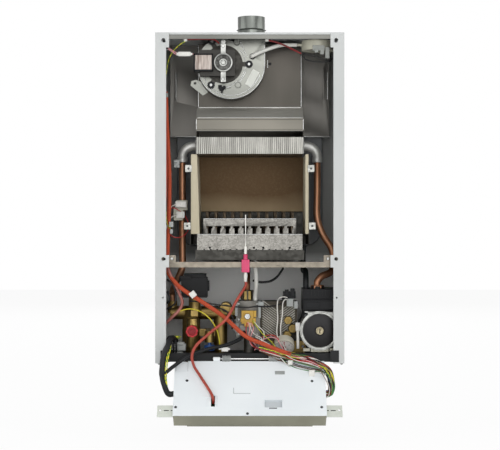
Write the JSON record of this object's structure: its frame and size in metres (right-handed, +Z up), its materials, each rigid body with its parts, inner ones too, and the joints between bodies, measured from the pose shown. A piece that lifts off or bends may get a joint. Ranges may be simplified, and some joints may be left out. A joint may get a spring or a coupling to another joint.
{
  "type": "combi boiler",
  "caption": "Wall-hung gas combi boiler with its front cover off: fan and fume hood over a heat exchanger and burner, pump and valves below, and the control box hinged down.",
  "frame": {"origin": "on the back face of the back plate, on the centre line, at the height of the two hanging slots", "axes": "+Y into the wall, +X to the right of someone who faces the boiler, +Z up along its height"},
  "size_m": [0.4, 0.37, 0.8676],
  "materials": {
    "case_paint": "satin light grey paint on sheet steel",
    "black_paint": "satin black paint on sheet steel",
    "cover_paint": "pale satin paint on sheet steel",
    "vessel_paint": "grey paint on pressed steel",
    "galvanised": "spangled galvanised sheet steel",
    "bright_steel": "bright steel",
    "die_cast": "die-cast aluminium",
    "silvered": "silvery dipped coating over brazed fins and tubes",
    "copper": "dull copper",
    "brass": "rough forged brass",
    "insulation": "matt ceramic fibre board, browned at the back",
    "ceramic": "white porcelain",
    "silicone": "matt white silicone",
    "black_rubber": "matt black rubber",
    "black_plastic": "satin black plastic",
    "grey_plastic": "satin grey-beige plastic",
    "magenta_plastic": "matt pink-red plastic",
    "red_plastic": "glossy red plastic",
    "blue_plastic": "glossy blue plastic",
    "yellow_plastic": "satin yellow plastic",
    "board_green": "green lacquered circuit board",
    "sleeve_red": "matt orange-red sleeve"
  },
  "bodies": {
    "root_body": {"back_plate": "case_paint", "left_side_panel": "case_paint", "right_side_panel": "case_paint", "top_panel": "case_paint", "bottom_tray": "black_paint", "crossbar": "galvanised", "chamber_shelf": "galvanised", "flue_spigot": "bright_steel", "fume_hood": "galvanised", "rear_baffle": "galvanised", "fan_scroll": "galvanised", "fan_motor_core": "galvanised", "fan_coil": "copper", "fan_bearing_bracket": "die_cast", "air_pressure_switch": "grey_plastic", "pressure_hose": "silicone", "heat_exchanger": "silvered", "combustion_chamber": "galvanised", "insulation_back": "insulation", "insulation_left": "insulation", "insulation_right": "insulation", "burner": "galvanised", "burner_tray": "galvanised", "gas_manifold": "die_cast", "ignition_electrode": "ceramic", "electrode_cap": "magenta_plastic", "flow_pipe": "copper", "return_pipe": "copper", "flow_thermostat": "grey_plastic", "expansion_vessel": "vessel_paint", "vessel_hose": "black_rubber", "flow_block": "brass", "diverter_motor": "black_plastic", "safety_valve_body": "brass", "gas_valve": "die_cast", "gas_valve_coil": "yellow_plastic", "gas_pipe": "copper", "reference_hose": "silicone", "plate_exchanger": "bright_steel", "return_block": "brass", "pump_housing": "black_plastic", "pump_motor": "die_cast", "pump_terminal_box": "black_plastic", "pressure_gauge": "black_plastic", "hinge_rod": "bright_steel", "ignition_lead": "sleeve_red", "wiring_sleeve": "sleeve_red", "left_cables": "black_rubber"},
    "control_box_body": {"control_cover": "cover_paint", "control_housing": "grey_plastic", "circuit_board": "board_green"},
    "heating_knob_body": {"heating_knob": "grey_plastic"},
    "hot_water_knob_body": {"hot_water_knob": "grey_plastic"},
    "fan_rotor_body": {"fan_impeller": "galvanised", "fan_cooling_wheel": "die_cast"},
    "pump_rotor_body": {"pump_rotor": "bright_steel"},
    "safety_knob_body": {"safety_valve_knob": "red_plastic"},
    "filling_knob_body": {"filling_knob": "blue_plastic"},
    "gauge_needle_body": {"gauge_needle": "red_plastic"},
    "diverter_body": {"diverter_spindle": "bright_steel"}
  },
  "joints": [
    {"name": "control_box_hinge", "type": "hinge", "parent": "root_body", "child": "control_box_body", "pos_m": [0, -0.265, -0.6457], "axis": [-1, 0, 0], "range_deg": [0, 135], "deforming": ["ignition_lead", "wiring_sleeve", "left_cables"]},
    {"name": "fan_spin", "type": "hinge", "parent": "root_body", "child": "fan_rotor_body", "pos_m": [-0.0565, -0.2, -0.016], "axis": [0, 1, 0], "continuous": true},
    {"name": "pump_spin", "type": "hinge", "parent": "root_body", "child": "pump_rotor_body", "pos_m": [0.149, -0.2, -0.5875], "axis": [0, 1, 0], "continuous": true},
    {"name": "diverter_slide", "type": "slide", "parent": "root_body", "child": "diverter_body", "axis": [0, 0, 1], "range_m": [0, 0.007]},
    {"name": "safety_valve_turn", "type": "hinge", "parent": "root_body", "child": "safety_knob_body", "pos_m": [-0.124, -0.227, -0.59], "axis": [0, 1, 0], "range_deg": [0, 90]},
    {"name": "filling_turn", "type": "hinge", "parent": "root_body", "child": "filling_knob_body", "pos_m": [-0.088, -0.178, -0.63], "axis": [0, 0, 1], "range_deg": [0, 360]},
    {"name": "gauge_needle_turn", "type": "hinge", "parent": "root_body", "child": "gauge_needle_body", "pos_m": [0.0734, -0.236, -0.624], "axis": [0, 0.766, 0.6428], "range_deg": [-135, 135]},
    {"name": "heating_knob_turn", "type": "hinge", "parent": "control_box_body", "child": "heating_knob_body", "pos_m": [-0.055, -0.28338, -0.74328], "axis": [0, -0.7071, 0.7071], "range_deg": [0, 270]},
    {"name": "hot_water_knob_turn", "type": "hinge", "parent": "control_box_body", "child": "hot_water_knob_body", "pos_m": [0.055, -0.28338, -0.74328], "axis": [0, -0.7071, 0.7071], "range_deg": [0, 270]}
  ]
}
